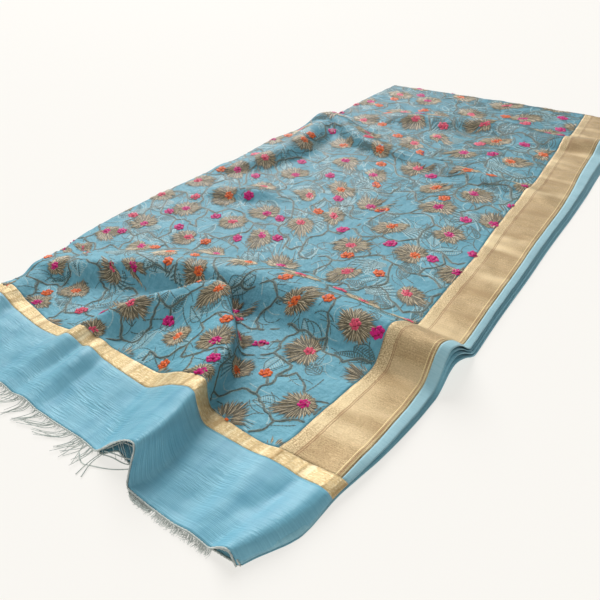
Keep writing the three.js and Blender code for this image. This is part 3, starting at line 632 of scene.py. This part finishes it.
def on_field(pattern):
    """Points on the cloth from distances to the border and to the stripe, the way out of the cloth
    there, and whether each of them lies on the side of the field that shows."""
    rows, columns = field_grid.shape[:2]
    row = pattern[:, 1] / from_stripe[-1].mean() * rows
    column = columns - 1 - pattern[:, 0] / from_border[:, 0].mean() * columns
    for _ in range(SEARCH_STEPS):
        found = on_grid(row, column)
        column = np.clip(column + SEARCH_SHARE * (pattern[:, 0] - found[:, 6]) / found[:, 8], 0,
                         columns - 1)
        row = np.clip(row + SEARCH_SHARE * (pattern[:, 1] - found[:, 7]) / found[:, 9], 0, rows - 1)
    found = on_grid(row, column)
    off = np.hypot(found[:, 6] - pattern[:, 0], found[:, 7] - pattern[:, 1])
    return found[:, :3], found[:, 3:6], (off < PLACE_ERROR) & (found[:, 5] > TURNED_UNDER)


class Stitches:
    """Stitches of one thread, gathered and then made as one mesh. Each is a low padded ridge: a fine
    one has its top at its middle, and a fat one is as wide over most of its length."""

    SHAPES = {
        "fine": ((0, 0.5, 1), [(0, 1, 2), (0, 2, 3), (1, 4, 2), (2, 4, 3)]),
        "fat": ((0, 0.2, 0.8, 1), [(0, 1, 2), (0, 2, 3), (1, 4, 5), (1, 5, 2), (2, 5, 6), (2, 6, 3),
                                   (4, 7, 5), (5, 7, 6)]),
    }

    def __init__(self, name, shade, spread=0.26, shape="fine"):
        self.name, self.shape, self.rows = name, shape, []
        self.finish = Finish(name, {"Roughness": 0.45, "Specular IOR Level": 0.28,
                                    "Sheen Weight": 0.05})
        grain, fibre = [self.finish.noise(self.finish.node("ShaderNodeTexCoord", output=3), *noise)
                        for noise in ((520.0, 2.0, 0.6), (2600.0, 1.0, 0.5))]
        dark, light = [tuple(min(1, c * share) for c in shade[:3]) + (1,)
                       for share in (1 - 2 * spread, 1 + 2 * spread)]
        self.finish.set("Base Color", self.finish.mix(grain * 1.5 - 0.25, dark, light))
        self.finish.set("Roughness", fibre * 0.3 + 0.3)
        self.finish.bump(grain + fibre * 0.4, 0.0003)

    def add(self, starts, ends, width, height, lift=0.1):
        starts, ends = np.atleast_2d(starts), np.atleast_2d(ends)
        sizes = [np.broadcast_to(v, len(starts)) for v in (width, height, lift)]
        self.rows.append(np.column_stack([starts, ends, *sizes]))

    def make(self):
        shares, corners = self.SHAPES[self.shape]
        rows = np.concatenate(self.rows)
        start, end = rows[:, :2], rows[:, 2:4]
        found = [on_field(start + (end - start) * share) for share in shares]
        known = np.all([shows for _, _, shows in found], axis=0)
        made_length = np.linalg.norm(found[-1][0] - found[0][0], axis=1)
        known &= made_length < STRETCH * np.linalg.norm(end - start, axis=1)
        width, height, lift = rows[known, 4:].T[..., None]
        lines = [place[known] + out[known] * lift for place, out, _ in found]
        way = lines[-1] - lines[0]
        points = [lines[0]]
        for line, (_, out, _) in zip(lines[1:-1], found[1:-1]):
            beside = unit(np.cross(out[known], way))
            points += [line - beside * width / 2, line + out[known] * height, line + beside * width / 2]
        points.append(lines[-1])
        count = len(points)
        faces = np.array(corners) + np.arange(len(width))[:, None, None] * count
        piece = new_mesh(self.name, np.stack(points, 1).reshape(-1, 3), faces.reshape(-1, 3),
                         self.finish.material)


# The vines: a net of couched stems all over the body, dark olive-grey with a lighter thread on each
# side. Its cells are about as wide as a hand's palm, and each of its stems wanders a little.
CELL_WIDTH, CELL_LENGTH, JITTER = 58, 52, 8
GROWTH = 0.95  # how much larger the pattern is at the far end
PATTERN_WIDTH, PATTERN_LENGTH = 560, 1190
STEM = {"stitch": 4.0, "width": 2.1, "height": 0.8, "beside": 1.15, "side_width": 0.9, "longest": 70}
draw = np.random.default_rng(21)

vine_dark = Stitches("vine_dark", colour(84, 104, 102), 0.24, "fat")
vine_light = Stitches("vine_light", colour(134, 142, 126), 0.2)
NET_LENGTH = PATTERN_LENGTH / (1 + GROWTH / 2)
columns = int(PATTERN_WIDTH / CELL_WIDTH) + 2
rows = int(NET_LENGTH / CELL_LENGTH) + 2


def grown(net_x, net_y):
    """Where a place of the net lies on the cloth, with some play."""
    size = 1 + GROWTH * net_y / NET_LENGTH
    place = np.array([net_x * size, net_y * (1 + size) / 2])
    return place + draw.uniform(-JITTER, JITTER, 2) * size


def growth(place):
    """How much larger the pattern is at a place on the cloth."""
    return np.sqrt(np.maximum(1 + 2 * GROWTH * place[..., 1] / NET_LENGTH, 0.8))


corner_at, centre_at = {}, {}
for i in range(-1, rows):
    for j in range(-1, columns):
        x = (j + 0.5 * (i % 2)) * CELL_WIDTH
        y = i * CELL_LENGTH
        centre_at[i, j] = grown(x, y)
        corner_at[i, j, 0] = grown(x, y + CELL_LENGTH * 0.62)
        corner_at[i, j, 1] = grown(x + CELL_WIDTH / 2, y + CELL_LENGTH * 0.38)


def stem(start, end, bend):
    """A wandering line from one place to another, as points a stitch apart."""
    length = np.linalg.norm(end - start)
    t = np.linspace(0, 1, max(3, int(length / STEM["stitch"] / growth(start))))
    beside = unit(left_of(end - start))
    kink = bend[0] * np.sin(math.pi * t) + 0.45 * bend[1] * np.sin(2 * math.pi * t)
    kink += 0.12 * bend[2] * np.sin(6 * math.pi * t)
    return start + np.outer(t, end - start) + np.outer(kink * np.sin(math.pi * t) ** 0.5, beside)


stems = []
for (i, j, kind), start in corner_at.items():
    if kind == 0:
        ends = [corner_at.get((i, j, 1)), corner_at.get((i, j - 1, 1))]
        ends.append(corner_at.get((i + 1, j - 1 + (i % 2), 1)))
        for end in ends:
            if end is not None and draw.random() < 0.92:
                if np.linalg.norm(end - start) < STEM["longest"] * growth(start):
                    stems.append(stem(start, end, draw.uniform(-12, 12, 3) * growth(start)))

# The flower heads: fans, rounds and pointed heads of straight stitches in khaki, tan and cream that
# run out from a centre set off to one side. Their ragged rims are the ends of the stitches.
FLOWER_RADIUS = (14.5, 18.5)
CENTRE_SIZE = 6.1
BURSTS = [  # thread, where the stitches start and end as shares of the radius, count, width, height,
    # lift, and how much their ends differ
    ("ground", 0.04, 0.62, 44, 2.6, 0.35, 0.06, 0.10),
    ("ground", 0.34, 0.90, 84, 3.0, 0.35, 0.10, 0.10),
    ("tan", 0.10, 0.55, 34, 1.1, 0.55, 0.45, 0.12),
    ("ground", 0.30, 1.04, 46, 1.5, 0.55, 0.40, 0.12),
    ("tan", 0.38, 0.96, 58, 1.1, 0.55, 0.50, 0.14),
    ("tan", 0.66, 1.10, 44, 0.9, 0.50, 0.40, 0.12),
    ("cream", 0.22, 0.66, 20, 0.8, 0.60, 0.75, 0.16),
    ("cream", 0.50, 1.02, 40, 0.8, 0.60, 0.70, 0.14),
]
flower_threads = {
    "ground": Stitches("flower_ground", colour(94, 89, 72), 0.24),
    "tan": Stitches("flower_tan", colour(134, 122, 96), 0.24),
    "cream": Stitches("flower_cream", colour(206, 190, 158), 0.1),
}
magenta = Stitches("knots_magenta", colour(208, 20, 122), 0.2, "fat")
pink = Stitches("knots_pink", colour(238, 84, 112), 0.18, "fat")
orange = Stitches("knots_orange", colour(244, 106, 44), 0.18, "fat")
knot_gap_shade = Stitches("knots_crimson", colour(150, 16, 62), 0.2, "fat")


def ring(count, turn=0.0):
    """Directions all round, a little uneven, and the directions beside them."""
    angle = turn + (np.arange(count) + draw.uniform(-0.2, 0.2, count)) * 2 * math.pi / count
    return toward(angle), left_of(toward(angle))


def knot(thread, place, size):
    """A rounded rosette of short fat stitches that lean round its middle, over a crimson sheet that
    shows between them as painted shade.
    """
    turn = draw.uniform(0, 2 * math.pi)
    size = size * growth(place)
    out, _ = ring(3, turn)
    # Painted shade: a crimson sheet under the petals darkens the gaps between them.
    knot_gap_shade.add(place - out * size * 0.92, place + out * size * 0.92, size * 0.95, 0.5, 0.2)
    for distance, count, length, width, lift in ((0.66, 6, 0.40, 0.46, 0.6), (0.2, 3, 0.3, 0.4, 1.1)):
        out, swirl = ring(count, turn + distance)
        middle = place + out * size * distance
        reach = (swirl * 0.85 + out * 0.5) * size * length
        thread.add(middle - reach, middle + reach, size * width, 1.3, lift)


def flower(place, radius, kind, heading):
    """Straight stitches from an off-set centre out to a rim of the kind's outline."""
    centre_shift = {"fan": 0.36, "round": 0.12, "lobes": 0.06, "pointed": 0.3}[kind]
    centre = place - radius * centre_shift * toward(heading)

    def rim(angle):
        facing = angle - heading
        outline = {
            "fan": 1 + 0.34 * np.cos(facing) - 0.42 * np.exp(-((np.abs(facing) - math.pi) / 0.5) ** 2),
            "round": 1 + 0.08 * np.cos(2 * facing),
            "lobes": 1.08 - 0.42 * np.exp(-((facing - 1.4) / 0.36) ** 2)
            - 0.3 * np.exp(-((facing + 1.7) / 0.4) ** 2),
            "pointed": 0.86 + 0.3 * np.cos(facing) + 0.42 * np.exp(-(facing / 0.42) ** 2),
        }[kind]
        return radius * outline * (1 + 0.05 * np.sin(facing * 7 + radius))

    for thread, start, end, count, width, height, lift, spread in BURSTS:
        angle = heading - math.pi + (np.arange(count) + draw.uniform(-0.4, 0.4, count)) \
            * 2 * math.pi / count
        out = toward(angle)
        far = rim(angle) * (end + draw.uniform(-spread, spread, count))
        near = rim(angle) * (start + draw.uniform(-spread, spread, count) * 0.6)
        lean = draw.uniform(-0.09, 0.09, count) * radius
        beside = left_of(out) * lean[:, None]
        flower_threads[thread].add(centre + out * near[:, None], centre + out * far[:, None] + beside,
                                   width * growth(place) * draw.uniform(0.8, 1.25, count), height,
                                   lift)
    return centre


flowers = []
for place in centre_at.values():
    if draw.random() < 0.97:
        kind = draw.choice(["fan", "fan", "round", "lobes", "pointed"])
        radius = draw.uniform(*FLOWER_RADIUS) * growth(place)
        flowers.append((place, radius, kind, draw.uniform(0, 2 * math.pi)))
for place, radius, kind, heading in flowers:
    centre = flower(place, radius, kind, heading)
    knot(draw.choice([magenta, pink, orange, magenta, pink]), centre, CENTRE_SIZE)

# The buds stand by themselves on short side stems, as rounded rosettes in the brightest threads.
BUD_SIZE, BUD_GAP = 6.9, 34
flower_places = np.array([place for place, *_ in flowers])
flower_sizes = np.array([radius for _, radius, *_ in flowers])


def clear_of_flowers(places_on_cloth, share):
    gap = np.linalg.norm(places_on_cloth[:, None] - flower_places, axis=2)
    return (gap > flower_sizes * share).all(axis=1)


buds = []
for line in list(stems):
    middle = line[len(line) // 2]
    size = growth(middle)
    beside = draw.choice([-1, 1]) * draw.uniform(8, 16) * size
    way = unit(line[len(line) // 2 + 1] - middle)
    place = middle + left_of(way) * beside + way * draw.uniform(-6, 6)
    apart = not buds or np.linalg.norm(np.array(buds) - place, axis=1).min() > BUD_GAP * size
    if draw.random() < 0.8 and apart and clear_of_flowers(place[None], 1.15)[0]:
        buds.append(place)
        stems.append(stem(middle, place, draw.uniform(-2, 2, 3)))
        knot(draw.choice([magenta, magenta, orange, orange, pink]), place, BUD_SIZE)

for line in stems:
    start, end = line[:-1], line[1:]
    kept = clear_of_flowers((start + end) / 2, 0.74)
    start, end = start[kept], end[kept]
    if len(start):
        over = (end - start) * 0.3
        wobble = draw.uniform(-0.4, 0.4, start.shape)
        size = growth(start[0])
        beside = unit(left_of(end - start)) * STEM["beside"] * size
        vine_dark.add(start - over + wobble, end + over, STEM["width"] * size, STEM["height"], 0.12)
        for turned in (-1, 1):
            shown = draw.random(len(start)) < 0.75
            vine_light.add((start - over + beside * turned)[shown],
                           (end + over + (beside + wobble) * turned)[shown],
                           STEM["side_width"] * size, STEM["height"] * 0.7, 0.12)

# The leaves, the fans of long lines and the sketched lines between the stems: open rows of stitches
# in threads close to the cloth's own blue, which show as a faint hatching.
SKETCHES, FANS, LEAVES = 1800, 70, 480
LEAF_LENGTH, LEAF_HALF = (16, 34), (5, 10)
FAN_LINES, FAN_STITCHES, FAN_STEP = 13, 8, 4.2
SKETCH_STITCHES, SKETCH_STEP = 9, 3.0
leaf_pale = Stitches("leaf_pale", colour(150, 188, 194), 0.1)
leaf_grey = Stitches("leaf_grey", colour(76, 108, 110), 0.2)


def drawn(line, thread, width, share=1.0):
    """A line of stitches end to end, left out where a flower head covers it."""
    kept = clear_of_flowers((line[:-1] + line[1:]) / 2, share)
    over = (line[1:] - line[:-1]) * 0.35
    thread.add((line[:-1] - over)[kept], (line[1:] + over)[kept], width * growth(line[0]), 0.35,
               0.07)


def swept(start, headings, step):
    """A line that goes a step along each of its headings in turn."""
    return start + np.cumsum(step * growth(start) * toward(headings), axis=0)


for _ in range(LEAVES):
    start = draw.uniform([0, 0], [PATTERN_WIDTH, PATTERN_LENGTH])
    heading = draw.uniform(0, 2 * math.pi)
    way = toward(heading)
    across_way = left_of(way)
    length, half = np.array([draw.uniform(*LEAF_LENGTH), draw.uniform(*LEAF_HALF)]) * growth(start)
    t = np.linspace(0, 1, int(length / growth(start) / 2.0))
    rib = start + np.outer(t * length, way) + np.outer(draw.uniform(-4, 4) * t**2, across_way)
    side = half * np.sin(math.pi * t**0.8)
    grey_share = 0.5 + 0.45 * start[1] / PATTERN_LENGTH
    thread = leaf_grey if draw.random() < grey_share else leaf_pale
    other = leaf_grey if draw.random() < grey_share else leaf_pale
    drawn(rib, leaf_grey, 1.5)
    for turned in (-1, 1):
        rim = rib + np.outer(side * turned, across_way)
        drawn(rim, thread, 1.5)
        if draw.random() < 0.7:
            tip = rib + np.outer(side * turned * 0.94, across_way) + np.outer(side * 0.5, way)
            kept = clear_of_flowers(tip, 1.0)
            other.add(rib[kept], tip[kept], 1.6 * growth(start), 0.35, 0.07)
for _ in range(FANS):
    middle = draw.uniform([0, 0], [PATTERN_WIDTH, PATTERN_LENGTH])
    heading, bend = draw.uniform(0, 2 * math.pi), draw.uniform(-0.1, 0.1)
    for number, turn in enumerate(np.linspace(-0.5, 0.5, FAN_LINES)):
        line = swept(middle, heading + turn + bend * np.arange(FAN_STITCHES), FAN_STEP)
        drawn(line, leaf_grey if number % 2 else leaf_pale, 1.7)
for _ in range(SKETCHES):
    middle = draw.uniform([0, 0], [PATTERN_WIDTH, PATTERN_LENGTH])
    heading, bend = draw.uniform(0, 2 * math.pi), draw.uniform(-0.26, 0.26)
    line = swept(middle, heading + bend * np.arange(SKETCH_STITCHES), SKETCH_STEP)
    drawn(line, leaf_pale if draw.random() < 0.3 else leaf_grey, draw.uniform(1.0, 1.9))

for thread in (*flower_threads.values(), magenta, pink, orange, knot_gap_shade, vine_dark, vine_light,
               leaf_pale, leaf_grey):
    thread.make()

# The fringe: the warp threads left long at the hem. At the left they hang in loose tufts that point
# away from the cloth, and at the right they are short fuzz. A whipped cord keeps each hem.
TUFTS = [  # place across, length, heading
    (16, 34, -2.2), (38, 38, -2.0), (62, 34, -2.3), (88, 38, -2.1), (110, 33, -2.0), (136, 36, -2.4),
    (158, 30, -2.1), (182, 31, -2.4), (206, 25, -2.3), (227, 26, -2.33), (243, 22, -2.1),
    (265, 25, -2.25), (290, 34, -2.62), (314, 34, -2.55), (331, 22, -2.05), (339, 20, -1.85),
    (348, 18, -1.6),
]
TUFT_THREADS, TUFT_SPAN, TUFT_LOOSE = 6, 5.5, 2.4
FUZZ = [  # node, places across, threads, shortest, longest
    ("fringe_left", 4, 362, 190, 2, 7),
    ("fringe_mouth", 362, 432, 12, 1, 3),
    ("fringe_right", 432, 534, 240, 3, 7),
]
LOOPS = [  # loose threads at the mouth: points of each in plan, and its height over the table
    [(360, 3, 4), (357, -8, 1.2), (358, -21, 0.8)],
    [(364, 4, 6), (360, -7, 2.0), (364, -20, 0.9)],
    [(342, -6, 2), (352, -11, 0.8), (362, -8, 0.8), (376, -2, 0.8), (386, 4, 1.2), (396, 11, 3)],
    [(359, 3, 3), (370, 7, 2), (384, 9, 2), (396, 13, 5)],
    [(362, 6, 6), (372, 9, 6), (384, 12, 6), (398, 15, 11)],
]
THREAD, FUZZ_THREAD, CORD = 0.6, 0.24, 0.9  # radii
CORD_SPAN, CORD_GAP, CORD_REACH = 1.5, 0.7, 1.15  # its point spacing, gap to the hem, widest share
NEARLY_UP = (0.03, 0.02, 1.0)
thread_grey = Finish("fringe_thread", {"Roughness": 0.8, "Specular IOR Level": 0.2,
                                       "Sheen Weight": 0.3})
tangle = thread_grey.noise(thread_grey.node("ShaderNodeTexCoord", output=3), 160.0, 2.0, 0.6)
thread_grey.set("Base Color", thread_grey.mix(tangle, colour(164, 176, 172), colour(222, 226, 218)))
thread_grey.bump(tangle, 0.0003)
draw = np.random.default_rng(33)


def strand(line, radius, made, twist=0.0):
    """A thin four-sided thread along a line, closed at both ends and added to a list of meshes."""
    line = np.asarray(line, float)
    way = unit(np.gradient(line, axis=0))
    beside = unit(np.cross(way, NEARLY_UP))
    up = np.cross(beside, way)
    turned = np.arange(4) * math.pi / 2 + twist * np.arange(len(line))[:, None]
    around = np.cos(turned)[..., None] * beside[:, None] + np.sin(turned)[..., None] * up[:, None]
    radius = np.broadcast_to(radius, len(line))[:, None, None]
    at = np.arange(len(line) * 4).reshape(-1, 4)
    after = np.roll(at, -1, axis=1)
    sides = np.stack([at[:-1], after[:-1], after[1:], at[1:]], -1).reshape(-1, 4)
    made.append(((line[:, None] + around * radius).reshape(-1, 3),
                 np.concatenate([sides, at[:1, ::-1], at[-1:]])))


def hem_line(grid, across_list, places_across):
    """Points just outside a grid's hem, and the way out from it there."""
    column = np.interp(places_across, across_list, np.arange(len(across_list)))
    out = unit(grid[0] - grid[1])
    index = np.arange(len(across_list))
    line, heading = [np.stack([np.interp(column, index, row[:, k]) for k in range(3)], -1)
                     for row in (grid[0] + out * CORD_GAP, out)]
    line[:, 2] = np.maximum(line[:, 2] - SILK_THICKNESS / 2, CORD * CORD_REACH)
    return line, heading


def whip(grid, across_list, start, end, made):
    """A whipped cord along a grid's hem."""
    line, _ = hem_line(grid, across_list, np.linspace(start, end, int((end - start) / CORD_SPAN)))
    strand(line, CORD * (1 + 0.14 * np.sin(np.arange(len(line)) * 1.9)), made, 0.6)


def bent(start, control, end, low, count=10):
    """A thread that leaves the hem towards one point and bends to another, and comes to the table."""
    t = np.linspace(0, 1, count)[:, None]
    plan = (1 - t) ** 2 * start[:2] + 2 * t * (1 - t) * control + t**2 * end
    drop = smooth(0, 0.5, t[:, 0])
    return np.column_stack([plan, start[2] * (1 - drop) + low * drop])


fringe = {"fringe_left": [], "fringe_mouth": [], "fringe_right": []}
for node, start, end, threads, short, long in FUZZ:
    whip(end_grid, whole_across, start, WIDTH if node == "fringe_right" else end, fringe[node])
    roots, ways = hem_line(end_grid, whole_across, draw.uniform(start, end, threads))
    for root, away in zip(roots, ways):
        heading = math.atan2(away[1], away[0]) + draw.normal(-0.25, 0.45)
        way = draw.uniform(short, long) * toward(heading)
        bow = left_of(way) * draw.normal(0, 0.3)
        strand(bent(root, root[:2] + way * 0.5 + bow, root[:2] + way, 0.5 + draw.uniform(0, 1.2), 5),
               FUZZ_THREAD * np.linspace(1, 0.5, 5), fringe[node])
for middle, length, heading in TUFTS:
    spread = draw.normal(0, TUFT_SPAN, TUFT_THREADS)
    roots, ways = hem_line(end_grid, whole_across, np.clip(middle + spread, 3, 361))
    tip = roots[:, :2].mean(axis=0) + length * toward(heading)
    for root, away in zip(roots, ways):
        end = tip + draw.normal(0, TUFT_LOOSE, 2)
        control = root[:2] + away[:2] * length * draw.uniform(0.1, 0.4)
        strand(bent(root, control, end, 0.6 + draw.uniform(0, 1.6)), THREAD * np.linspace(1, 0.45, 10),
               fringe["fringe_left"])
for points in LOOPS:
    strand(run(points, 3), THREAD, fringe["fringe_mouth"])
for grid in layer_grids:
    whip(grid, layer_across, 352, 452, fringe["fringe_mouth"])
    whip(grid, layer_across, 470, WIDTH, fringe["fringe_right"])
for node, made in fringe.items():
    first = np.cumsum([0] + [len(points) for points, _ in made[:-1]])
    threads = new_mesh(f"{node}_threads", np.concatenate([points for points, _ in made]),
                       np.concatenate([faces + at for at, (_, faces) in zip(first, made)]),
                       thread_grey.material)
    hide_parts(node)

# The surface, the light and the camera: a pale floor, a broad soft light from behind on the left, a
# weaker one from the front, and the view that the cloth was laid out for.
LENS_PIXELS, PICTURE = 530.14, 600
CAMERA_PLACE = (673, -127.5, 375)
CAMERA_AXES = ((0.80907, 0.58752, -0.01475), (0.33636, -0.48348, -0.80815),
               (-0.48194, 0.64889, -0.58879))  # its right, its down and the way it looks
LIGHTS = {  # where each comes from, its strength and its width in degrees
    "window": ((-0.60, 0.56, 0.64), 3.3, 42),
    "reflector": ((0.15, -0.85, 0.5), 0.7, 60),
}
SKY_STRENGTH, FLOOR_SIZE = 0.26, 60

floor_finish = Finish("floor_white", {
    "Base Color": colour(134, 133, 131), "Emission Color": colour(250, 247, 241),
    "Emission Strength": 0.745, "Roughness": 0.9, "Specular IOR Level": 0.1})
bpy.ops.mesh.primitive_plane_add(size=FLOOR_SIZE)
floor = bpy.context.object
floor.name = "floor"
floor.data.materials.append(floor_finish.material)

for name, (comes_from, strength, width) in LIGHTS.items():
    lamp = bpy.data.lights.new(name, "SUN")
    lamp.energy, lamp.angle = strength, math.radians(width)
    light = bpy.data.objects.new(name, lamp)
    bpy.context.scene.collection.objects.link(light)
    light.rotation_mode = "QUATERNION"
    light.rotation_quaternion = Vector(comes_from).to_track_quat("Z", "Y")
world = bpy.data.worlds.new("sky")
world.use_nodes = True
world.node_tree.nodes["Background"].inputs["Color"].default_value = (0.97, 0.985, 1, 1)
world.node_tree.nodes["Background"].inputs["Strength"].default_value = SKY_STRENGTH
bpy.context.scene.world = world
bpy.context.scene.view_settings.view_transform = "Standard"

lens = bpy.data.cameras.new("camera")
lens.sensor_width = 36
lens.lens = LENS_PIXELS / PICTURE * lens.sensor_width
lens.clip_start, lens.clip_end = 0.01, 100
camera = bpy.data.objects.new("camera", lens)
right, down, forward = CAMERA_AXES
camera.matrix_world = Matrix([
    [right[k], -down[k], -forward[k], (CAMERA_PLACE[k] - (*CLOTH_MIDDLE, 0)[k]) * MM]
    for k in range(3)] + [[0, 0, 0, 1]])
bpy.context.scene.collection.objects.link(camera)
bpy.context.scene.camera = camera
